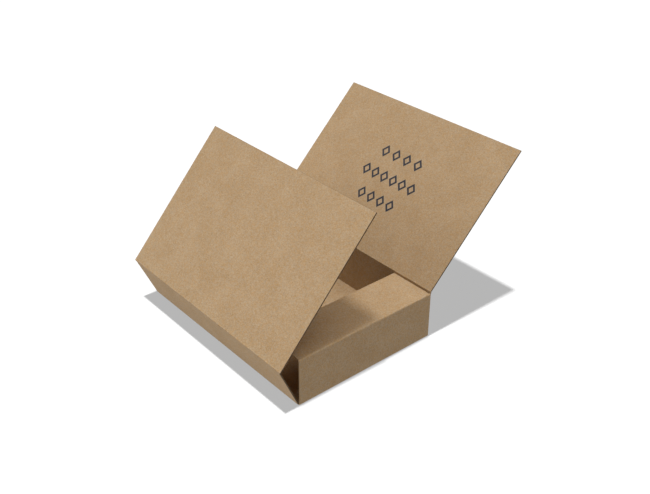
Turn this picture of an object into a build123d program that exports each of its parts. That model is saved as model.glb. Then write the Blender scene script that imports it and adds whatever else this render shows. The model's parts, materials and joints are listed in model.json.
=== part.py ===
from build123d import *

import os
from math import cos, radians, sin

# A shallow wrap-around box of kraft board, folded from one sheet and standing open on a table.
# Millimetres, +Z up, +X across the two covers from the left fold to the right one, +Y to the rear.
# The origin is the centre of the bottom panel's underside.

# Board
board = 1.5
crease_radius = 0.2

# Tray
tray_width = 203.0
tray_length = 302.0
tray_depth = 62.0
flap_depth = 62.0
end_wall_setback = 0.8
flap_side_gap = 0.1
side_panel_gap = 0.3

# Covers
inner_cover_clearance = 2.5
outer_cover_setback = 1.0
stacking_gap = 0.1

# Clearance between the two panels of a hinge fold
hinge_gap = 0.3

# Angles of the open box, in degrees
left_wall_lean = 23.6
inner_cover_fold = 114.2
outer_cover_opening = 135.2

# Sizes worked out from those above
half_board = board / 2
half_width = tray_width / 2
half_length = tray_length / 2
fold_outer_radius = crease_radius + board
fold_mid_radius = crease_radius + half_board
end_wall_half_width = half_width - end_wall_setback
flap_half_width = half_width - fold_outer_radius - flap_side_gap
bend_start_y = half_length - fold_outer_radius
side_panel_half_length = bend_start_y - side_panel_gap
panel_start = half_board + hinge_gap

# Hinge folds at mid-board, as they lie with every fold square
side_fold_x = half_width - half_board
bottom_fold_z = half_board
inner_cover_fold_z = tray_depth + stacking_gap + half_board
outer_cover_fold_z = inner_cover_fold_z + board + stacking_gap

# Panel runs from fold to fold, or from fold to free edge
left_wall_run = inner_cover_fold_z - bottom_fold_z
inner_cover_run = side_fold_x + half_width - board - inner_cover_clearance
outer_cover_run = side_fold_x + half_width - outer_cover_setback

# Directions of the open panels, as angles above +X
left_wall_angle = 90 + left_wall_lean
inner_cover_angle = left_wall_angle + inner_cover_fold - 180
outer_cover_angle = 180 - outer_cover_opening


def panel_plane(fold: Vector, angle: float) -> Plane:
    """The section plane of a panel, whose local X leaves the fold in the angle's direction."""
    along = (cos(radians(angle)), 0, sin(radians(angle)))
    return Plane(origin=fold, x_dir=along, z_dir=(0, -1, 0))


# The tray: the bottom, the right wall, both end walls and both end flaps, which stay folded
with BuildPart() as tray:
    # Each end wall with its flap, as one bent strip that starts on the bottom
    flap_edge_y = half_length - flap_depth
    end_wall_y = half_length - half_board
    flap_z = tray_depth - half_board
    with BuildSketch(Plane.YZ):
        with BuildLine():
            bend = FilletPolyline(
                (bend_start_y - fold_outer_radius, bottom_fold_z),
                (end_wall_y, bottom_fold_z),
                (end_wall_y, flap_z),
                (flap_edge_y, flap_z),
                radius=fold_mid_radius,
            )
        trace(bend, line_width=board)
        mirror(about=Plane.YZ)
    extrude(amount=end_wall_half_width, both=True)

    # The end walls lap over the ends of the side walls, and the flaps fit between the side walls
    with BuildSketch(Plane.XY):
        with Locations((-half_width, 0), (half_width, 0)):
            Rectangle(2 * (half_width - flap_half_width), 2 * bend_start_y)
    extrude(amount=tray_depth, mode=Mode.SUBTRACT)

    # The bottom and the right wall, whose long edges end half round at the hinge folds
    with BuildSketch(Plane.XZ):
        with BuildLine():
            FilletPolyline(
                (-side_fold_x, bottom_fold_z),
                (side_fold_x, bottom_fold_z),
                (side_fold_x, outer_cover_fold_z),
                radius=fold_mid_radius,
            )
            offset(amount=half_board, side=Side.BOTH)
        make_face()
    extrude(amount=side_panel_half_length, both=True)
tray.part.label = "tray"

# The left wall, which leans out from the bottom's left edge
bottom_fold = Vector(-side_fold_x, 0, bottom_fold_z)
left_wall_plane = panel_plane(bottom_fold, left_wall_angle)
with BuildPart() as left_wall:
    with BuildSketch(left_wall_plane):
        with Locations((panel_start, 0)):
            Rectangle(left_wall_run - panel_start, board, align=(Align.MIN, Align.CENTER))
        with Locations((left_wall_run, 0)):
            Circle(half_board)
    extrude(amount=side_panel_half_length, both=True)
left_wall.part.label = "left_wall"

# The inner cover, which closes first and lies on the end flaps
left_wall_top = left_wall_plane.from_local_coords(Vector(left_wall_run, 0))
inner_cover_plane = panel_plane(left_wall_top, inner_cover_angle)
with BuildPart() as inner_cover:
    with BuildSketch(inner_cover_plane):
        with Locations((panel_start, 0)):
            Rectangle(inner_cover_run - panel_start, board, align=(Align.MIN, Align.CENTER))
    extrude(amount=half_length, both=True)
inner_cover.part.label = "inner_cover"

# The outer cover, which hinges on the right wall and closes over the inner one
outer_cover_plane = panel_plane(Vector(side_fold_x, 0, outer_cover_fold_z), outer_cover_angle)
with BuildPart() as outer_cover:
    with BuildSketch(outer_cover_plane):
        with Locations((panel_start, 0)):
            Rectangle(outer_cover_run - panel_start, board, align=(Align.MIN, Align.CENTER))
    extrude(amount=half_length, both=True)
outer_cover.part.label = "outer_cover"

os.makedirs("parts", exist_ok=True)
export_step(tray.part, "parts/tray.step")
export_step(left_wall.part, "parts/left_wall.step")
export_step(inner_cover.part, "parts/inner_cover.step")
export_step(outer_cover.part, "parts/outer_cover.step")
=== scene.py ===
"""The looks of a wrap-around box: one folded sheet of kraft board, standing open on a pale floor.

Lengths are in metres. X runs across the box from the left fold to the right one, Y runs to the
rear, along the folds, and Z up. A sheet place is a point's place on the flat, unfolded sheet.
"""

import json
import logging
from collections.abc import Callable, Iterable
from dataclasses import dataclass
from enum import Enum, IntEnum
from functools import reduce
from math import atan2, cos, degrees, pi, radians, sin

import bmesh
import bpy
from bmesh.types import BMesh, BMVert
from bpy.types import ID, Material, Mesh, Node, NodeSocket, NodeTree, Object
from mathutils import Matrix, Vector


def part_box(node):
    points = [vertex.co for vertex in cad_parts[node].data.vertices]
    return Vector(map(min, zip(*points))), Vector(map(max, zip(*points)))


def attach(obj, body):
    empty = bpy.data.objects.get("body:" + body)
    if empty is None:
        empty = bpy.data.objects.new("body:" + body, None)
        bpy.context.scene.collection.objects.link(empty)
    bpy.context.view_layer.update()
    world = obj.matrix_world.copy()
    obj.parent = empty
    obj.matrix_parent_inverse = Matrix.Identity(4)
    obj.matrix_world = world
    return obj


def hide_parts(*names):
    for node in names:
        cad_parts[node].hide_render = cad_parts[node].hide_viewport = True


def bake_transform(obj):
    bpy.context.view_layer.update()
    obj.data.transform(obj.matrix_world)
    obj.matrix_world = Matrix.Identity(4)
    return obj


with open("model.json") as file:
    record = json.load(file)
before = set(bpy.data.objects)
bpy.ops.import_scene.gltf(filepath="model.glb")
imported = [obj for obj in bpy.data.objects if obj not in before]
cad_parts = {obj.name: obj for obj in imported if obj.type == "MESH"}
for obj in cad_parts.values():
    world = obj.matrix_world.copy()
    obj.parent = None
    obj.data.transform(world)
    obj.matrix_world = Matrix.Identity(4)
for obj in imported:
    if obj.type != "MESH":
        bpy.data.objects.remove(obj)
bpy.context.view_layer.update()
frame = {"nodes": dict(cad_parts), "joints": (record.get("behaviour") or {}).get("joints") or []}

log = logging.getLogger("wrap_around_box")

SHEET = "sheet_place"
MILLIMETRE = 0.001
TOUCHING = 0.001 * MILLIMETRE
SHARP_ANGLE = radians(40)
SAME_PLACE_DIGITS = 7
MIX_FIRST, MIX_SECOND, MIX_RESULT = 6, 7, 2  # the sockets of a Mix node that hold colours
ACROSS = Vector((1, 0, 0))

Colour = tuple[float, float, float]
Triple = tuple[float, float, float]
Pair = tuple[float, float]
Station = tuple[float, float, bool]


# Node graphs


class Graph:
    """A node tree in which one method adds every node, and expressions add the sums."""

    def __init__(self, tree: NodeTree) -> None:
        """Start from an empty tree."""
        self.tree = tree
        tree.nodes.clear()

    def node(self, kind: str, settings: dict | None = None, values: dict | None = None) -> Node:
        """Add a node.

        Args:
            kind: The node's type.
            settings: Properties of the node, which are set before its sockets.
            values: What each input is set or linked to, by the input's name or number.

        Returns:
            The new node.
        """
        made = self.tree.nodes.new(kind)
        for name, setting in (settings or {}).items():
            setattr(made, name, setting)
        for name, value in (values or {}).items():
            self.feed(made.inputs[name], value)
        return made

    def feed(self, socket: NodeSocket, value: object) -> None:
        """Set an input to a value, or link it to a signal or socket.

        Args:
            socket: The input.
            value: A number, a tuple, a signal or an output socket.
        """
        source = value.socket if isinstance(value, Signal) else value
        if isinstance(source, NodeSocket):
            self.tree.links.new(source, socket)
        elif socket.type == "RGBA":
            socket.default_value = (*source, 1.0)
        else:
            socket.default_value = source

    def signal(
        self,
        kind: str,
        settings: dict | None = None,
        values: dict | None = None,
        output: int | str = 0,
    ) -> "Signal":
        """Add a node and give one of its outputs, by its name or number."""
        return Signal(self, self.node(kind, settings, values).outputs[output])

    def outputs(self, node: Node, names: Iterable[str]) -> list["Signal"]:
        """Give some of a node's outputs."""
        return [Signal(self, node.outputs[name]) for name in names]

    def split(self, vector: "Signal") -> list["Signal"]:
        """Give the three parts of a vector."""
        return self.outputs(self.node("ShaderNodeSeparateXYZ", None, {"Vector": vector}), "XYZ")

    def joined(self, *parts: "Signal") -> "Signal":
        """Give the vector of three parts."""
        return self.signal("ShaderNodeCombineXYZ", None, dict(zip("XYZ", parts)))

    def math(self, operation: str, *operands: object) -> "Signal":
        """Add one sum on numbers."""
        return self.signal("ShaderNodeMath", {"operation": operation}, dict(enumerate(operands)))

    def vector_math(self, operation: str, first: object, second: object) -> "Signal":
        """Add one sum on vectors, where SCALE takes a factor as its second operand."""
        values = {0: first, "Scale" if operation == "SCALE" else 1: second}
        return self.signal("ShaderNodeVectorMath", {"operation": operation}, values)

    def mix(self, factor: object, first: object, second: object) -> "Signal":
        """Blend two colours, where the factor is the share of the second one."""
        values = {"Factor": factor, MIX_FIRST: first, MIX_SECOND: second}
        return self.signal("ShaderNodeMix", {"data_type": "RGBA"}, values, MIX_RESULT)

    def ramp(self, value: object, span: Pair) -> "Signal":
        """Raise a value smoothly from 0 to 1 between two levels."""
        values = {"Value": value, "From Min": span[0], "From Max": span[1]}
        return self.signal("ShaderNodeMapRange", {"interpolation_type": "SMOOTHSTEP"}, values)


def operator(operation: str, reflected: bool = False) -> Callable[..., "Signal"]:
    """Make the method that adds a Math node to a signal.

    Args:
        operation: The node's operation.
        reflected: Whether the signal is the second operand.

    Returns:
        The method.
    """

    def method(self: "Signal", *others: object) -> "Signal":
        """Give the result of the operation."""
        operands = (*others, self) if reflected else (self, *others)
        return self.graph.math(operation, *operands)

    return method


@dataclass(frozen=True, eq=False)
class Signal:
    """A socket that takes part in Python expressions, each of which adds its Math node.

    Args:
        graph: The graph that the socket belongs to.
        socket: The output socket.
    """

    graph: Graph
    socket: NodeSocket

    __add__ = operator("ADD")
    __radd__ = operator("ADD", reflected=True)
    __sub__ = operator("SUBTRACT")
    __rsub__ = operator("SUBTRACT", reflected=True)
    __mul__ = operator("MULTIPLY")
    __rmul__ = operator("MULTIPLY", reflected=True)
    __truediv__ = operator("DIVIDE")
    __rtruediv__ = operator("DIVIDE", reflected=True)
    __abs__ = operator("ABSOLUTE")
    least = operator("MINIMUM")
    most = operator("MAXIMUM")
    rounded = operator("ROUND")


def new_material(name: str) -> tuple[Material, Graph]:
    """Start a material.

    Args:
        name: Its name.

    Returns:
        The material and its empty graph.
    """
    made = bpy.data.materials.new(name)
    made.use_nodes = True
    return made, Graph(made.node_tree)


# Finishes


@dataclass(frozen=True)
class Clouds:
    """A pattern of soft clouds, around one half.

    Args:
        size: The width of a typical cloud.
        detail: How many finer octaves it has.
        roughness: The strength of the finer octaves.
    """

    size: float
    detail: float = 2.0
    roughness: float = 0.5

    def draw(self, place: Signal) -> Signal:
        """Draw the clouds at a sheet place."""
        values = {"Scale": 1 / self.size, "Detail": self.detail, "Roughness": self.roughness}
        return place.graph.signal("ShaderNodeTexNoise", None, {"Vector": place, **values})


@dataclass(frozen=True)
class Fibres:
    """Fibres in two crossing directions, most of them along the folds.

    Args:
        strands: The pattern that is drawn out into fibres, as wide as they are.
        length: The length of a fibre.
        turns: The angles of both directions to the folds.
        shares: The strength of each direction.
    """

    strands: Clouds = Clouds(0.00055, roughness=0.6)
    length: float = 0.0022
    turns: Pair = (radians(12), radians(-38))
    shares: Pair = (0.6, 0.4)

    def draw(self, place: Signal) -> Signal:
        """Lay the fibres.

        Args:
            place: The sheet place.

        Returns:
            The fibre pattern, around one half.
        """
        graph = place.graph
        stretch = (1.0, self.strands.size / self.length, 1.0)
        layers = []
        for turn, share in zip(self.turns, self.shares):
            values = {"Vector": place, "Angle": turn}
            turned = graph.signal("ShaderNodeVectorRotate", {"rotation_type": "Z_AXIS"}, values)
            layers.append(self.strands.draw(graph.vector_math("MULTIPLY", turned, stretch)) * share)
        return layers[0] + layers[1]


@dataclass(frozen=True)
class Specks:
    """Small dark specks of bark, in patches.

    Args:
        spacing: The width of the cells that hold a speck each.
        edge: Where a speck starts to fade and where it is gone, in cells from its middle.
        patches: The pattern of the patches.
        patch_edge: The levels of that pattern at which a patch starts and is full.
    """

    spacing: float = 0.0035
    edge: Pair = (0.05, 0.13)
    patches: Clouds = Clouds(0.0105)
    patch_edge: Pair = (0.45, 0.65)

    def draw(self, place: Signal) -> Signal:
        """Scatter the specks.

        Args:
            place: The sheet place.

        Returns:
            1 in a speck and 0 outside it.
        """
        graph = place.graph
        values = {"Vector": place, "Scale": 1 / self.spacing}
        settings = {"voronoi_dimensions": "2D"}
        near = graph.signal("ShaderNodeTexVoronoi", settings, values, "Distance")
        patchy = graph.ramp(self.patches.draw(place), self.patch_edge)
        return (1.0 - graph.ramp(near, self.edge)) * patchy


@dataclass(frozen=True)
class MarkRow:
    """A row of printed marks across the cover.

    Args:
        distance: From the cover's fold to the row's middle.
        count: The number of marks.
        width: The row's whole width.
    """

    distance: float
    count: int
    width: float


@dataclass(frozen=True)
class Print:
    """Rows of hollow lozenges in dark blue ink, centred on the cover.

    Args:
        fold: The sheet place of the cover's fold, along X.
        rows: The rows.
        mark: The width and the height of a lozenge.
        stroke: The width of its line.
        feather: How far the ink's edge fades into the board.
        ink: The ink's colour.
        cover: The share of ink on the darkest fibres and on the lightest.
        fibre_span: The fibre levels between which that share rises.
        smoothing: How much smoother than the board the ink is.
    """

    fold: float
    rows: tuple[MarkRow, ...] = (
        MarkRow(distance=0.1315, count=4, width=0.0735),
        MarkRow(distance=0.0995, count=6, width=0.0975),
        MarkRow(distance=0.0680, count=4, width=0.0670),
    )
    mark: Pair = (0.0145, 0.0182)
    stroke: float = 0.0027
    feather: float = 0.0002
    ink: Colour = (0.0125, 0.0195, 0.0340)
    cover: Pair = (0.93, 0.99)
    fibre_span: Pair = (0.35, 0.65)
    smoothing: float = 0.22

    def coverage(self, place: Signal) -> Signal:
        """Draw the marks.

        Args:
            place: The sheet place.

        Returns:
            1 in the ink and 0 outside it.
        """
        along, across, _ = place.graph.split(place)
        half_width, half_height = self.mark[0] / 2, self.mark[1] / 2
        slope = half_width * half_height / (half_width**2 + half_height**2) ** 0.5
        edge = ((self.stroke - self.feather) / 2, (self.stroke + self.feather) / 2)
        inked = []
        for row in self.rows:
            pitch = (row.width - self.mark[0]) / (row.count - 1)
            last = (row.count - 1) / 2
            step = (across / pitch + last).rounded().most(0.0).least(2 * last)
            aside = abs(across - (step - last) * pitch) / half_width
            away = abs(along - (self.fold + row.distance)) / half_height
            from_line = abs(aside + away - 1.0 + self.stroke / (2 * slope)) * slope
            inked.append(1.0 - place.graph.ramp(from_line, edge))
        return reduce(Signal.most, inked)

    def worn(self, inked: Signal, fibres: Signal) -> Signal:
        """Give the share of ink where the fibres let the board show."""
        least, most = self.cover
        return inked * (least + fibres.graph.ramp(fibres, self.fibre_span) * (most - least))


@dataclass(frozen=True, kw_only=True)
class BoardFinish:
    """A finish of the board, drawn on its sheet place.

    Args:
        name: The material's name.
        roughness: The mean roughness.
        gloss: The level of its gloss.
        relief: The height of the surface's grain.
        bump: The strength at which the grain shows.
    """

    name: str
    roughness: float
    gloss: float
    relief: float
    bump: float

    def material(self) -> Material:
        """Build the material.

        Returns:
            The finished material.
        """
        made, graph = new_material(self.name)
        place = graph.signal("ShaderNodeAttribute", {"attribute_name": SHEET}, None, "Vector")
        colour, roughness, height = self.layers(place)
        grain = {"Strength": self.bump, "Distance": self.relief, "Height": height}
        values = {
            "Base Color": colour,
            "Roughness": roughness,
            "Normal": graph.signal("ShaderNodeBump", None, grain),
            "Specular IOR Level": self.gloss,
        }
        surface = graph.signal("ShaderNodeBsdfPrincipled", None, values)
        graph.node("ShaderNodeOutputMaterial", None, {"Surface": surface})
        return made

    def layers(self, place: Signal) -> tuple[Signal, Signal, Signal]:
        """Draw what varies over the board, which each finish does in its own way."""
        raise NotImplementedError


@dataclass(frozen=True, kw_only=True)
class KraftFace(BoardFinish):
    """The liner of brown kraft board: clouds of pulp, long fibres and a few dark specks.

    Args:
        base: The mean colour.
        ochre: The share of each channel in the yellower grain.
        grey: The share of each channel in the greyer grain.
        clouds: The clouds of pulp.
        fibres: The fibres.
        specks: The specks.
        grain: The finest grain of the hue.
        patches: The wider patches of the hue.
        drift: The slow change of tone over the sheet.
        hue_shares: How much the grain, the patches and the drift count in the hue.
        hue_span: The levels at which the hue is all ochre and all grey.
        contrasts: How much the fibres, the clouds and the drift lighten the board.
        speck_depth: How much a speck darkens it.
        fibre_sheen: How much smoother a raised fibre is.
        printing: The print on it, or None.
    """

    name: str = "kraft_face"
    roughness: float = 0.88
    gloss: float = 0.25
    relief: float = 0.00006
    bump: float = 0.35
    base: Colour = (0.453, 0.309, 0.174)
    ochre: Triple = (0.990, 0.910, 0.76)
    grey: Triple = (1.005, 1.082, 1.22)
    clouds: Clouds = Clouds(0.0032, detail=3.0, roughness=0.65)
    fibres: Fibres = Fibres()
    specks: Specks = Specks()
    grain: Clouds = Clouds(0.0016, roughness=0.7)
    patches: Clouds = Clouds(0.0032, roughness=0.6)
    drift: Clouds = Clouds(0.0320, detail=1.0)
    hue_shares: Triple = (0.80, 0.12, 0.08)
    hue_span: Pair = (0.39, 0.61)
    contrasts: Triple = (1.10, 0.10, 0.16)
    speck_depth: float = 0.45
    fibre_sheen: float = 0.10
    printing: Print | None = None

    def layers(self, place: Signal) -> tuple[Signal, Signal, Signal]:
        """Draw the liner.

        Args:
            place: The sheet place.

        Returns:
            The colour, the roughness and the height.
        """
        graph = place.graph
        apart = graph.vector_math("ADD", place, (0.0, 0.0, self.drift.size))
        clouds, fibres = self.clouds.draw(place), self.fibres.draw(place)
        hues = [pattern.draw(apart) for pattern in (self.grain, self.patches, self.drift)]

        lightness = 1.0 - self.specks.draw(place) * self.speck_depth
        for pattern, contrast in zip((fibres, clouds, hues[-1]), self.contrasts):
            lightness = lightness + (pattern - 0.5) * contrast
        hue = reduce(Signal.__add__, (part * share for part, share in zip(hues, self.hue_shares)))
        shades = (self.tinted(self.ochre), self.tinted(self.grey))
        colour = graph.mix(graph.ramp(hue, self.hue_span), *shades)
        colour = graph.vector_math("SCALE", colour, lightness)
        roughness = self.roughness + (0.5 - fibres) * self.fibre_sheen
        if self.printing:
            inked = self.printing.coverage(place)
            colour = graph.mix(self.printing.worn(inked, fibres), colour, self.printing.ink)
            roughness = roughness - inked * self.printing.smoothing
        return colour, roughness, (clouds + fibres) * 0.5

    def tinted(self, shares: Triple) -> Colour:
        """Give the mean colour with each channel scaled by its share."""
        return tuple(channel * share for channel, share in zip(self.base, shares))


@dataclass(frozen=True, kw_only=True)
class KraftCut(BoardFinish):
    """The cut edge of the board, where the squeezed plies show as fine lines. By default its
    colours are dark brown: partly the board's own darker core, partly painted shade of the edge.

    Args:
        board: The board's thickness.
        core: The colour of the plies inside.
        liner: The colour of the liners at both faces.
        liner_span: Where a liner starts and is full, in shares of the thickness.
        plies: The number of plies.
        waver: How far the grain bends the plies, in radians of their wave.
        grain: The grain of the pulp.
        shade: The lightness between two plies.
        ply_contrast: How much lighter a ply is.
        grain_contrast: How much the grain lightens the cut.
        ply_height: How high the plies stand against the grain.
        ply_sheen: How much smoother a ply is.
    """

    name: str = "kraft_cut_with_painted_shade"
    roughness: float = 0.93
    gloss: float = 0.2
    relief: float = 0.0001
    bump: float = 0.5
    board: float
    # The dark default colours are partly the board's darker core and partly painted shade of the
    # cut edge.
    core: Colour = (0.125, 0.082, 0.046)
    liner: Colour = (0.165, 0.110, 0.062)
    liner_span: Pair = (0.36, 0.46)
    plies: int = 6
    waver: float = 3.0
    grain: Clouds = Clouds(0.000375, detail=3.0, roughness=0.65)
    shade: float = 0.92
    ply_contrast: float = 0.10
    grain_contrast: float = 0.30
    ply_height: float = 0.6
    ply_sheen: float = 0.05

    def layers(self, place: Signal) -> tuple[Signal, Signal, Signal]:
        """Draw the cut.

        Args:
            place: The sheet place.

        Returns:
            The colour, the roughness and the height.
        """
        graph = place.graph
        through = graph.split(place)[2] / self.board
        grain = self.grain.draw(place)
        wave = through * (2 * pi * self.plies) + (grain - 0.5) * self.waver
        plies = graph.math("SINE", wave) * 0.5 + 0.5
        lightness = self.shade + plies * self.ply_contrast + (grain - 0.5) * self.grain_contrast
        colour = graph.mix(graph.ramp(abs(through), self.liner_span), self.core, self.liner)
        colour = graph.vector_math("SCALE", colour, lightness)
        return colour, self.roughness - plies * self.ply_sheen, plies * self.ply_height + grain


# Boards


class EndShape(Enum):
    """How a length of board ends."""

    CUT = "a cut end with softened corners"
    BEAD = "half round about a fold's middle"
    BUTT = "flat against the next length"


class Skin(IntEnum):
    """The material number of a piece's faces."""

    LINER = 0
    EDGE = 1
    PRINT = 2


@dataclass(frozen=True)
class BoardStock:
    """The board that the sheet is cut from.

    Args:
        thickness: The board's thickness.
        crease_radius: The radius inside a sharp fold.
        cut_round: The rounding of a cut corner.
        margin: The flat band kept beside a cut corner, which keeps the face's shading flat.
        hinge_reach: How far from a hinge fold's axis the next panel starts.
    """

    thickness: float = 1.5 * MILLIMETRE
    crease_radius: float = 0.2 * MILLIMETRE
    cut_round: float = 0.16 * MILLIMETRE
    margin: float = 0.25 * MILLIMETRE
    hinge_reach: float = 1.05 * MILLIMETRE

    @property
    def half(self) -> float:
        """Half the thickness."""
        return self.thickness / 2

    @property
    def fold_radius(self) -> float:
        """The radius of a folded board at mid-thickness."""
        return self.crease_radius + self.half


@dataclass(frozen=True)
class Leg:
    """A straight length of a section path, and the fold after it.

    Args:
        length: The straight length.
        turn: The fold's angle, anticlockwise in the section plane, or 0.
    """

    length: float
    turn: float = 0.0


@dataclass(frozen=True)
class SectionPath:
    """The middle line of folded board in a section plane.

    Args:
        stock: The board.
        start: The start point in the plane.
        heading: The start direction.
        legs: The straight lengths and folds.
        fold_step: The angle between two of a fold's points.
    """

    stock: BoardStock
    start: Vector
    heading: float
    legs: tuple[Leg, ...]
    fold_step: float = radians(7.5)

    @property
    def length(self) -> float:
        """The length along the middle line."""
        return sum(leg.length + leg.turn * self.stock.fold_radius for leg in self.legs)

    def marks(self) -> list[float]:
        """Divide the path evenly at its folds.

        Returns:
            The distances at which the path has a point.
        """
        distances = [0.0]
        for leg in self.legs:
            distances.append(distances[-1] + leg.length)
            steps = round(leg.turn / self.fold_step)
            for _ in range(steps):
                distances.append(distances[-1] + leg.turn / steps * self.stock.fold_radius)
        return distances

    def at(self, distance: float, aside: float) -> Vector:
        """Give a point of the board.

        Args:
            distance: The distance along the middle line.
            aside: The distance to the left of it.

        Returns:
            The point in the section plane.
        """
        point, heading, left = self.start, self.heading, distance
        radius = self.stock.fold_radius
        for leg in self.legs:
            straight = left if leg is self.legs[-1] else min(left, leg.length)
            point = point + direction(heading) * straight
            left -= straight
            turned = min(left / radius, leg.turn)
            if turned > 0:
                centre = point + direction(heading).orthogonal() * radius
                heading += turned
                point = centre - direction(heading).orthogonal() * radius
                left -= turned * radius
        return point + direction(heading).orthogonal() * aside


def direction(angle: float) -> Vector:
    """Give the direction at an angle in the section plane."""
    return Vector((cos(angle), sin(angle)))


@dataclass(frozen=True)
class Placing:
    """Where a length of board stands in the box, and where it lies on the flat sheet.

    Args:
        axis: The level axis of the section plane.
        sheet_start: The sheet place of the path's start, along that axis.
        sheet_sign: 1 where the path runs with that axis on the sheet, and -1 against it.
    """

    axis: Vector
    sheet_start: float
    sheet_sign: int = 1

    @property
    def sweep(self) -> Vector:
        """The level direction across the section."""
        return Vector((abs(self.axis.y), abs(self.axis.x), 0))

    def point(self, section: Vector, across: float) -> Vector:
        """Give the place in the box of a section point at a distance across."""
        return self.axis * section.x + self.sweep * across + Vector((0, 0, section.y))

    def sheet(self, distance: float, across: float, aside: float) -> Vector:
        """Give the sheet place of a point of the board."""
        along = self.sheet_start + self.sheet_sign * distance
        return self.axis * along + self.sweep * across + Vector((0, 0, aside))


@dataclass(frozen=True)
class SweptBoard:
    """A length of folded board, swept across its section, with softened cut edges.

    Args:
        path: Its middle line.
        half_sweep: How far the board is swept to both sides of the section.
        placing: Its place in the box and on the sheet.
        reach: Where along the path the board starts and ends.
        first: How the section starts, butted or in a bead.
        last: How it ends.
        side: How both sides of the sweep end, butted or cut.
        corner_steps: The number of steps round a softened corner.
        bead_steps: The number of steps round a quarter of a bead.
    """

    path: SectionPath
    half_sweep: float
    placing: Placing
    reach: Pair
    first: EndShape = EndShape.BUTT
    last: EndShape = EndShape.BUTT
    side: EndShape = EndShape.CUT
    corner_steps: int = 3
    bead_steps: int = 9

    @property
    def cut_band(self) -> float:
        """The width of a softened corner and its margin."""
        return self.path.stock.cut_round + self.path.stock.margin

    def rounding(self, inset: float) -> list[Pair]:
        """Round a cut corner.

        Args:
            inset: How far the outline is drawn in.

        Returns:
            How far each point lies back from the cut and from the face.
        """
        corner = self.path.stock.cut_round
        radius = corner - inset
        angles = quarter(self.corner_steps)
        return [(corner - radius * sin(angle), corner - radius * cos(angle)) for angle in angles]

    def section(self, inset: float) -> list[Station]:
        """Give the section's stations.

        Args:
            inset: How far the outline is drawn in.

        Returns:
            For each station the distance along, the half thickness, and whether the board is cut
            from here on.
        """
        half = self.path.stock.half
        begin, end = self.reach
        tail = end - (self.cut_band if self.last is EndShape.CUT else 0.0)
        middle = [mark for mark in self.path.marks() if begin + TOUCHING < mark < tail - TOUCHING]
        stations = [(distance, half - inset, False) for distance in (begin, *middle, tail)]
        bead = [
            ((half - inset) * cos(angle), (half - inset) * sin(angle))
            for angle in quarter(self.bead_steps)[1:-1]
        ]
        if self.first is EndShape.BEAD:
            stations = [(begin - out, rise, False) for out, rise in bead] + stations
        if self.last is EndShape.BEAD:
            stations += [(end + out, rise, False) for out, rise in reversed(bead)]
        if self.last is EndShape.CUT:
            stations += [(end - back, half - drop, True) for back, drop in self.rounding(inset)]
        return stations

    def crossings(self) -> list[Station]:
        """Give the sweep's stations.

        Returns:
            For each station the distance across, its inset, and whether the board is cut from here
            on.
        """
        half = self.half_sweep
        if self.side is EndShape.BUTT:
            return [(-half, 0.0, False), (half, 0.0, False)]
        flat = half - self.cut_band
        corner = self.rounding(0.0)
        low = [(back - half, inset, True) for back, inset in reversed(corner)]
        high = [(half - back, inset, True) for back, inset in corner]
        return [*low, (-flat, 0.0, False), (flat, 0.0, False), *high]

    def row(self, shape: BMesh, across: float, inset: float) -> list[list[BMVert]]:
        """Add the points of one crossing.

        Args:
            shape: The mesh to add to.
            across: The distance across.
            inset: How far the outline is drawn in.

        Returns:
            For each station the points on both faces.
        """
        sheet = shape.verts.layers.float_vector[SHEET]
        row = []
        for distance, half, _ in self.section(inset):
            pair = []
            for aside in (half, -half):
                point = self.placing.point(self.path.at(distance, aside), across)
                vert = shape.verts.new(point)
                vert[sheet] = self.placing.sheet(distance, across, aside)
                pair.append(vert)
            row.append(pair)
        return row

    def build(self, shape: BMesh) -> None:
        """Add the board to a mesh.

        Args:
            shape: The mesh to add to.
        """

        def skin(corners: list[BMVert], number: Skin) -> None:
            """Add one face with its material."""
            shape.faces.new(corners).material_index = number

        crossings = self.crossings()
        rows = [self.row(shape, across, inset) for across, inset, _ in crossings]
        cut_columns = [is_cut for _, _, is_cut in self.section(0.0)]
        last = len(cut_columns) - 1
        for (_, _, cut_row), near, far in zip(crossings, rows, rows[1:]):
            for column in range(last):
                number = Skin.EDGE if cut_row or cut_columns[column] else Skin.LINER
                for side in (0, 1):
                    near_edge = [near[column][side], near[column + 1][side]]
                    skin([*near_edge, far[column + 1][side], far[column][side]], number)
            for column, end in ((0, self.first), (last, self.last)):
                number = Skin.LINER if end is EndShape.BEAD and not cut_row else Skin.EDGE
                skin([*near[column], *reversed(far[column])], number)
        for row in (rows[0], rows[-1]):
            for left, right in zip(row, row[1:]):
                skin([left[0], *right, left[1]], Skin.EDGE)


def quarter(steps: int) -> list[float]:
    """Give the angles that divide a quarter turn into even steps."""
    return [step * pi / 2 / steps for step in range(steps + 1)]


def linked(name: str, data: ID) -> Object:
    """Put an object with this data in the scene.

    Args:
        name: The object's name.
        data: Its mesh, lamp or camera.

    Returns:
        The new object.
    """
    made = bpy.data.objects.new(name, data)
    bpy.context.collection.objects.link(made)
    return made


def placed(name: str, mesh: Mesh) -> Object:
    """Put a mesh in the scene, smooth across its rounded corners.

    Args:
        name: The object's name.
        mesh: Its mesh.

    Returns:
        The new object.
    """
    mesh.shade_smooth()
    mesh.set_sharp_from_angle(angle=SHARP_ANGLE)
    return linked(name, mesh)


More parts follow.
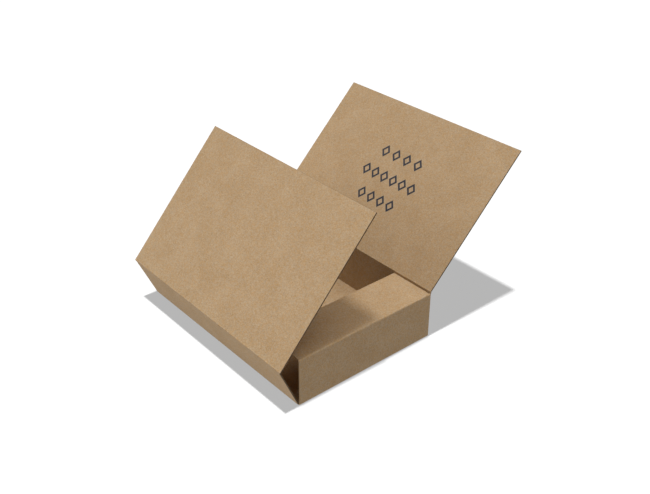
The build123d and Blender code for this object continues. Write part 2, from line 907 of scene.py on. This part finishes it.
def board_piece(node: str, boards: list[SweptBoard], finishes: list[Material]) -> Object:
    """Make the piece that stands for a node, hides the node and rides on its body.

    Args:
        node: The node that it replaces, which is also its body's name.
        boards: Its lengths of board.
        finishes: The liner's material and the cut edge's.

    Returns:
        The piece.
    """
    name = f"{node}_board"
    shape = bmesh.new()
    shape.verts.layers.float_vector.new(SHEET)
    for board in boards:
        board.build(shape)
    bmesh.ops.recalc_face_normals(shape, faces=shape.faces)
    mesh = bpy.data.meshes.new(name)
    shape.to_mesh(mesh)
    shape.free()
    for finish in finishes:
        mesh.materials.append(finish)
    piece = placed(name, mesh)
    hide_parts(node)
    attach(piece, node)
    log.info("%s: %d faces, for %s", piece.name, len(mesh.polygons), node)
    return piece


# Fold strips


class CreaseTree:
    """The rule of a creased hinge: board that turns from one panel's direction to the next's."""

    points_along = 9
    sizes = ("Reach", "Length", "Board", "Parent Angle", "Turn", "Sheet Start", "Sheet Sign")
    kinds = dict.fromkeys(sizes, "Float") | {"Fold": "Vector", "Finish": "Material"}

    def __init__(self) -> None:
        """Build the tree and keep its inputs' identifiers."""
        self.tree = bpy.data.node_groups.new("crease_strip", "GeometryNodeTree")
        self.keys = {name: self.socket(name, "INPUT", kind) for name, kind in self.kinds.items()}
        self.socket("Geometry", "OUTPUT", "Geometry")
        self.fill()

    def socket(self, name: str, side: str, kind: str) -> str:
        """Add an input or output to the tree, and give its identifier."""
        add = self.tree.interface.new_socket
        return add(name, in_out=side, socket_type=f"NodeSocket{kind}").identifier

    def fill(self) -> None:
        """Add the nodes: a flat slab, its sheet place, the bend, and the finish."""
        graph = Graph(self.tree)
        given = graph.outputs(graph.node("NodeGroupInput"), self.kinds)
        reach, length, board, parent_angle, turn, sheet_start, sheet_sign, fold, finish = given

        slab = {
            "Size": graph.joined(reach, length, board),
            "Vertices X": self.points_along,
            "Vertices Y": 2,
            "Vertices Z": 2,
        }
        shape = graph.signal("GeometryNodeMeshCube", None, slab)
        from_middle, across, aside = graph.split(graph.signal("GeometryNodeInputPosition"))
        along = from_middle + reach / 2.0

        sheet = graph.joined(sheet_start + along * sheet_sign, across, aside)
        bend = {
            "Vector": graph.joined(along, across, aside),
            "Axis": (0.0, -1.0, 0.0),
            "Angle": parent_angle + graph.ramp(along / reach, (0.0, 1.0)) * turn,
        }
        turned = graph.signal("ShaderNodeVectorRotate", {"rotation_type": "AXIS_ANGLE"}, bend)
        position = graph.vector_math("ADD", turned, fold)

        store = {"data_type": "FLOAT_VECTOR", "domain": "POINT"}
        for kind, settings, values in (
            ("GeometryNodeStoreNamedAttribute", store, {"Name": SHEET, "Value": sheet}),
            ("GeometryNodeSetPosition", None, {"Position": position}),
            ("GeometryNodeRealizeInstances", None, {}),
            ("GeometryNodeSetMaterial", None, {"Material": finish}),
        ):
            shape = graph.signal(kind, settings, {"Geometry": shape, **values})
        graph.node("NodeGroupOutput", None, {"Geometry": shape})

    def strip(self, name: str, values: dict[str, object]) -> Object:
        """Make one strip as a plain mesh.

        Args:
            name: The piece's name.
            values: Each input's value, by its name.

        Returns:
            The new object.
        """
        carrier = linked("crease_carrier", bpy.data.meshes.new("crease_carrier"))
        modifier = carrier.modifiers.new("crease", "NODES")
        modifier.node_group = self.tree
        for key, value in values.items():
            modifier[self.keys[key]] = value
        evaluated = carrier.evaluated_get(bpy.context.evaluated_depsgraph_get())
        mesh = bpy.data.meshes.new_from_object(evaluated)
        mesh.name = name
        carrier.modifiers.remove(modifier)
        bpy.data.objects.remove(carrier)
        return placed(name, mesh)


# The box


@dataclass(frozen=True)
class Finishes:
    """The materials of the sheet.

    Args:
        face: The liners.
        cut: The cut edges, darkened with painted shade.
        tray_cut: The tray's cut edges, near the liner's colour and without painted shade.
        printed: The printed liner.
    """

    face: Material
    cut: Material
    tray_cut: Material
    printed: Material


def half_length(node: str) -> float:
    """Give half a node's length along the folds."""
    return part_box(node)[1][1]


def fold_of(node: str) -> Vector:
    """Give the place across and the height of the joint's axis that a node hangs on."""
    place = next(row["pos_m"] for row in frame["joints"] if row["name"] == f"{node}_fold")
    return Vector((place[0], place[2]))


def far_edge(node: str) -> Vector:
    """Find the middle of a panel's free edge, in the section plane.

    Args:
        node: The panel's node.

    Returns:
        The middle.
    """
    places = {
        (round(vert.co.x, SAME_PLACE_DIGITS), round(vert.co.z, SAME_PLACE_DIGITS))
        for vert in frame["nodes"][node].data.vertices
    }
    nearest_first = sorted(places, key=lambda place: (Vector(place) - fold_of(node)).length)
    return (Vector(nearest_first[-1]) + Vector(nearest_first[-2])) / 2


@dataclass
class Tray:
    """The tray: the bottom with the right wall, and at each end a strip that bends up and in.

    The end walls lap over the ends of the side walls, and the flaps fit between the side walls.
    Above the end walls the right wall is as long as the cover that it carries.

    Args:
        stock: The board.
        left_fold: The fold of the left wall, in the section plane.
        right_fold: The fold of the outer cover, on top of the right wall.
        side_half_length: Half the length of the side walls and their folds.
        depth: The height of the end walls, over the flaps.
        flap_depth: From the end wall's outer face to the flap's free edge.
        wall_setback: From the box's side to an end wall's side.
        flap_gap: From a side fold's start to a flap's side.
        ear_gap: From the end walls' top to the right wall's longer part.
    """

    stock: BoardStock
    left_fold: Vector
    right_fold: Vector
    side_half_length: float
    depth: float = 62.0 * MILLIMETRE
    flap_depth: float = 62.0 * MILLIMETRE
    wall_setback: float = 0.8 * MILLIMETRE
    flap_gap: float = 0.1 * MILLIMETRE
    ear_gap: float = 0.1 * MILLIMETRE

    @property
    def half_width(self) -> float:
        """Half the width over the side folds."""
        return self.right_fold.x + self.stock.half

    @property
    def half_length(self) -> float:
        """Half the length over the end walls."""
        return half_length("tray")

    @property
    def right_fold_on_sheet(self) -> float:
        """The sheet place of the outer cover's fold."""
        return self.left_fold.x + self.base_path().length

    def base_path(self) -> SectionPath:
        """Draw the section across the box.

        Returns:
            The middle line of the bottom and the right wall, from fold to fold.
        """
        radius = self.stock.fold_radius
        bottom = self.right_fold.x - radius - self.left_fold.x
        wall = self.right_fold.y - self.left_fold.y - radius
        legs = (Leg(bottom, pi / 2), Leg(wall))
        return SectionPath(self.stock, self.left_fold, heading=0.0, legs=legs)

    def end_path(self) -> SectionPath:
        """Draw the section along the box.

        Returns:
            The middle line of an end strip, from the bottom to the flap's free edge.
        """
        half, radius = self.stock.half, self.stock.fold_radius
        neck = Leg(self.half_length - half - radius - self.side_half_length, pi / 2)
        wall = Leg(self.depth - self.stock.thickness - 2 * radius, pi / 2)
        flap = Leg(self.flap_depth - half - radius)
        start = Vector((self.side_half_length, self.left_fold.y))
        return SectionPath(self.stock, start, heading=0.0, legs=(neck, wall, flap))

    def end_strip(self, sign: int) -> list[SweptBoard]:
        """Give an end strip: its neck on the bottom, the wall with both bends, and the flap.

        Args:
            sign: -1 for the front end and 1 for the rear one.

        Returns:
            The three lengths of board.
        """
        path = self.end_path()
        placing = Placing(Vector((0, sign, 0)), self.side_half_length)
        neck_end = path.legs[0].length
        flap_start = path.length - path.legs[-1].length
        wall_side = self.half_width - self.wall_setback
        fold_start = self.half_width - self.stock.thickness - self.stock.crease_radius
        flap_side = fold_start - self.flap_gap
        return [
            SweptBoard(path, half_sweep, placing, reach, last=last)
            for half_sweep, reach, last in (
                (flap_side, (0.0, neck_end), EndShape.BUTT),
                (wall_side, (neck_end, flap_start), EndShape.BUTT),
                (flap_side, (flap_start, path.length), EndShape.CUT),
            )
        ]

    def build(self, finishes: Finishes) -> None:
        """Build the tray.

        Args:
            finishes: The sheet's materials.
        """
        path = self.base_path()
        placing = Placing(ACROSS, self.left_fold.x)
        ear_start = path.length - (self.right_fold.y - self.depth - self.ear_gap)
        base = SweptBoard(
            path,
            self.side_half_length,
            placing,
            reach=(0.0, ear_start),
            first=EndShape.BEAD,
            side=EndShape.BUTT,
        )
        ear_reach = (ear_start, path.length)
        ear = SweptBoard(path, self.half_length, placing, ear_reach, last=EndShape.BEAD)
        boards = [base, ear, *self.end_strip(-1), *self.end_strip(1)]
        board_piece("tray", boards, [finishes.face, finishes.tray_cut])


@dataclass
class Panel:
    """A panel that turns on a hinge fold, with the creased strip that joins it to its parent.

    Args:
        stock: The board.
        node: The panel's node and body.
        parent: The body that it hangs on; not used.
        parent_angle: The direction in which the parent runs into the fold.
        sheet_start: The sheet place of the fold.
        sign: The sheet direction in which it runs, 1 or -1.
        carried: The node that hangs on its far end, or None where that is a free edge.
        printed: Whether its inner face is printed.
    """

    stock: BoardStock
    node: str
    parent: str
    parent_angle: float
    sheet_start: float
    sign: int
    carried: str | None = None
    printed: bool = False

    @property
    def fold(self) -> Vector:
        """The panel's fold, in the section plane."""
        return fold_of(self.node)

    @property
    def end(self) -> Vector:
        """The next fold, or the middle of the free edge."""
        return fold_of(self.carried) if self.carried else far_edge(self.node)

    @property
    def angle(self) -> float:
        """The panel's direction in the section plane."""
        run = self.end - self.fold
        return atan2(run.y, run.x)

    @property
    def run(self) -> float:
        """The panel's length from fold to end."""
        return (self.end - self.fold).length

    @property
    def sheet_end(self) -> float:
        """The sheet place of the panel's end."""
        return self.sheet_start + self.sign * self.run

    def boards(self) -> list[SweptBoard]:
        """Lay out the panel.

        Returns:
            Its length of board, and before another fold the bead, which is as long as that fold.
        """
        path = SectionPath(self.stock, self.fold, self.angle, legs=(Leg(self.run),))
        placing = Placing(ACROSS, self.sheet_start, self.sign)
        half, start, end = half_length(self.node), self.stock.hinge_reach, self.run
        if self.carried is None:
            return [SweptBoard(path, half, placing, (start, end), last=EndShape.CUT)]
        bead = (end - self.stock.half, end)
        return [
            SweptBoard(path, half, placing, (start, bead[0])),
            SweptBoard(path, half_length(self.carried), placing, bead, last=EndShape.BEAD),
        ]

    def build(self, finishes: Finishes) -> None:
        """Build the panel, with any print on its inner face alone.

        Args:
            finishes: The sheet's materials.
        """
        piece = board_piece(self.node, self.boards(), [finishes.face, finishes.cut])
        if self.printed:
            piece.data.materials.append(finishes.printed)
            inward = Vector((-sin(self.angle), 0.0, cos(self.angle)))
            for polygon in piece.data.polygons:
                if polygon.material_index == Skin.LINER and polygon.normal.dot(inward) > 0:
                    polygon.material_index = Skin.PRINT

    def build_crease(self, rule: CreaseTree, finish: Material) -> None:
        """Build the strip that crosses the fold.

        Args:
            rule: The tree that bends the strip.
            finish: The liner's material.
        """
        turn = self.angle - self.parent_angle
        axis = Vector((self.fold.x, 0.0, self.fold.y))
        strip = rule.strip(
            f"{self.node}_crease",
            {
                "Reach": self.stock.hinge_reach,
                "Length": 2 * (half_length(self.node) - self.stock.cut_round),
                "Board": self.stock.thickness,
                "Parent Angle": self.parent_angle,
                "Turn": turn,
                "Sheet Start": self.sheet_start,
                "Sheet Sign": float(self.sign),
                "Fold": tuple(axis),
                "Finish": finish,
            },
        )
        along = Vector((cos(self.angle), 0.0, sin(self.angle)))
        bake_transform(strip)
        log.info("%s: bent by %.1f degrees", strip.name, degrees(turn))


@dataclass
class WrapBox:
    """The whole box: the tray, the left wall with the inner cover, and the outer cover.

    Args:
        stock: The board.
        tray_cut_core: The colour inside the tray's cut edges.
        tray_cut_liner: The colour of the liners there.
    """

    stock: BoardStock = BoardStock()
    tray_cut_core: Colour = (0.400, 0.270, 0.150)
    tray_cut_liner: Colour = (0.450, 0.310, 0.175)

    def panels(self, tray: Tray) -> list[Panel]:
        """Lay out the panels that hang on the tray.

        Args:
            tray: The tray.

        Returns:
            The left wall, the inner cover and the outer cover.
        """
        left_wall = Panel(
            self.stock,
            node="left_wall",
            parent="tray",
            parent_angle=pi,
            sheet_start=tray.left_fold.x,
            sign=-1,
            carried="inner_cover",
        )
        inner_cover = Panel(
            self.stock,
            node="inner_cover",
            parent="left_wall",
            parent_angle=left_wall.angle,
            sheet_start=left_wall.sheet_end,
            sign=-1,
        )
        outer_cover = Panel(
            self.stock,
            node="outer_cover",
            parent="tray",
            parent_angle=pi / 2,
            sheet_start=tray.right_fold_on_sheet,
            sign=1,
            printed=True,
        )
        return [left_wall, inner_cover, outer_cover]

    def finishes(self, print_fold: float) -> Finishes:
        """Make the sheet's materials.

        Args:
            print_fold: The sheet place of the printed cover's fold.

        Returns:
            The materials.
        """
        board = self.stock.thickness
        # The tray's cut edges keep colours near the liner's; the other cut edges take KraftCut's
        # dark default, which holds painted shade.
        tray_cut = KraftCut(
            name="kraft_tray_cut", board=board, core=self.tray_cut_core, liner=self.tray_cut_liner
        )
        printed = KraftFace(name="kraft_printed", printing=Print(fold=print_fold))
        return Finishes(
            face=KraftFace().material(),
            cut=KraftCut(board=board).material(),
            tray_cut=tray_cut.material(),
            printed=printed.material(),
        )

    def build(self) -> None:
        """Build every piece in order."""
        tray = Tray(
            stock=self.stock,
            left_fold=fold_of("left_wall"),
            right_fold=fold_of("outer_cover"),
            side_half_length=half_length("left_wall"),
        )
        panels = self.panels(tray)
        finishes = self.finishes(tray.right_fold_on_sheet)
        for part in (tray, *panels):
            part.build(finishes)
        rule = CreaseTree()
        for panel in panels:
            panel.build_crease(rule, finishes.face)


# The studio


@dataclass(frozen=True)
class Lamp:
    """A distant lamp, with its angles in degrees.

    Args:
        name: Its name.
        level: Its light on a face square to it, where 1 shows a colour as it is written.
        bearing: The side it stands on, turned from +X towards +Y.
        height: Its angle above the floor.
        size: Its angle as the box sees it.
        on_floor: Whether it lights the floor alone, and not the box.
    """

    name: str
    level: float
    bearing: float
    height: float
    size: float
    on_floor: bool = False

    def build(self, floor: Object) -> None:
        """Hang the lamp, for the box or for the floor alone.

        Args:
            floor: The floor.
        """
        data = bpy.data.lights.new(self.name, "SUN")
        data.energy = self.level * pi
        data.angle = radians(self.size)
        lamp = linked(self.name, data)
        tilt, turn = pi / 2 - radians(self.height), radians(self.bearing) + pi / 2
        lamp.rotation_euler = (tilt, 0.0, turn)
        lit = bpy.data.collections.new(f"{self.name}_lit")
        lit.objects.link(floor)
        link = lit.collection_objects[0].light_linking
        link.link_state = "INCLUDE" if self.on_floor else "EXCLUDE"
        lamp.light_linking.receiver_collection = lit


@dataclass(frozen=True)
class FloorFinish:
    """A white floor with an even grey shadow, and a painted contact shadow at the foot of the box.

    Args:
        shadow: The floor's brightness in the shadow.
        reflectance: The share of its own lamp's light that it returns to the eye.
        bounce: How bright it is to the box.
        contact: How far from the box its foot still dims the light.
        contact_share: How steeply the light dims there.
        contact_samples: How many rays look for the box's foot.
    """

    shadow: float = 0.464
    reflectance: float = 0.04
    bounce: float = 0.65
    contact: float = 6 * MILLIMETRE
    contact_share: float = 1.25
    contact_samples: int = 4

    def material(self) -> Material:
        """Build the material.

        Returns:
            The finished material.
        """
        made, graph = new_material("floor_white")

        def even(kind: str, level: float) -> Signal:
            """Add a shader of one grey."""
            return graph.signal(kind, None, {"Color": (level,) * 3})

        # Painted contact shadow: near the box's foot, by the share of short rays that meet it, the
        # floor's returned light is mixed towards black.
        near = {"Distance": self.contact}
        samples = {"samples": self.contact_samples}
        open_share = graph.signal("ShaderNodeAmbientOcclusion", samples, near, "AO")
        dimmed = graph.ramp((1.0 - open_share) * self.contact_share, (0.0, 1.0))
        lit = even("ShaderNodeBsdfDiffuse", self.reflectance)
        dark = even("ShaderNodeBsdfDiffuse", 0.0)
        returned = graph.signal("ShaderNodeMixShader", None, {0: dimmed, 1: lit, 2: dark})
        glow = even("ShaderNodeEmission", self.shadow)
        to_eye = graph.signal("ShaderNodeAddShader", None, {0: returned, 1: glow})
        to_box = even("ShaderNodeEmission", self.bounce)
        shaders = {0: seen(graph), 1: to_box, 2: to_eye}
        surface = graph.signal("ShaderNodeMixShader", None, shaders)
        graph.node("ShaderNodeOutputMaterial", None, {"Surface": surface})
        return made


@dataclass
class Studio:
    """The camera, the plain lights and the pale floor.

    Args:
        camera_place: The camera's place.
        heading: The direction it looks, turned from +Y towards +X.
        dip: How far it looks down.
        lens: The lens's focal length, in millimetres.
        ambient: The light of the room.
        floor_half: Half the floor's width.
        lamps: The lamps.
    """

    camera_place: Triple = (-0.58224, -0.76661, 0.66688)
    heading: float = radians(40.077)
    dip: float = radians(30.666)
    lens: float = 50.713
    ambient: float = 0.05
    floor_half: float = 6.0
    lamps: tuple[Lamp, ...] = (
        Lamp("key_lamp", level=0.435, bearing=180, height=85.6, size=10),
        Lamp("top_lamp", level=0.345, bearing=180, height=90, size=60),
        Lamp("side_lamp", level=0.115, bearing=168, height=40, size=30),
        Lamp("low_lamp", level=0.24, bearing=150, height=8, size=50),
        Lamp("front_lamp", level=0.25, bearing=332, height=50, size=60),
        Lamp("floor_lamp", level=15.0, bearing=174, height=84.8, size=2.5, on_floor=True),
    )

    def build(self) -> None:
        """Set up the studio."""
        self.build_camera()
        self.build_world()
        floor = self.build_floor()
        for lamp in self.lamps:
            lamp.build(floor)
        bpy.context.scene.view_settings.view_transform = "Standard"

    def build_camera(self) -> None:
        """Set the camera at the viewing angle."""
        data = bpy.data.cameras.new("camera")
        data.lens = self.lens
        camera = linked("camera", data)
        camera.location = self.camera_place
        camera.rotation_euler = (pi / 2 - self.dip, 0.0, -self.heading)
        bpy.context.scene.camera = camera

    def build_world(self) -> None:
        """Light the room evenly, and show white where the camera looks past the floor."""
        world = bpy.data.worlds.new("room")
        world.use_nodes = True
        bpy.context.scene.world = world
        graph = Graph(world.node_tree)
        soft, white = (
            graph.signal("ShaderNodeBackground", None, {"Color": (1.0,) * 3, "Strength": strength})
            for strength in (self.ambient, 1.0)
        )
        mixed = graph.signal("ShaderNodeMixShader", None, {0: seen(graph), 1: soft, 2: white})
        graph.node("ShaderNodeOutputWorld", None, {"Surface": mixed})

    def build_floor(self) -> Object:
        """Lay the floor.

        Returns:
            The floor.
        """
        half = self.floor_half
        mesh = bpy.data.meshes.new("floor")
        corners = [(x * half, y * half, 0.0) for x, y in ((-1, -1), (1, -1), (1, 1), (-1, 1))]
        mesh.from_pydata(corners, [], [(0, 1, 2, 3)])
        mesh.materials.append(FloorFinish().material())
        floor = linked("floor", mesh)
        return floor


def seen(graph: Graph) -> Signal:
    """Give 1 for rays of the camera, also by way of gloss or glass, and 0 for others."""
    names = ("Is Camera Ray", "Is Glossy Ray", "Is Transmission Ray")
    return reduce(Signal.most, graph.outputs(graph.node("ShaderNodeLightPath"), names))


def main() -> None:
    """Build the studio and the box."""
    logging.basicConfig(level=logging.INFO, format="%(name)s: %(message)s")
    Studio().build()
    WrapBox().build()


if __name__ == "__main__":
    main()
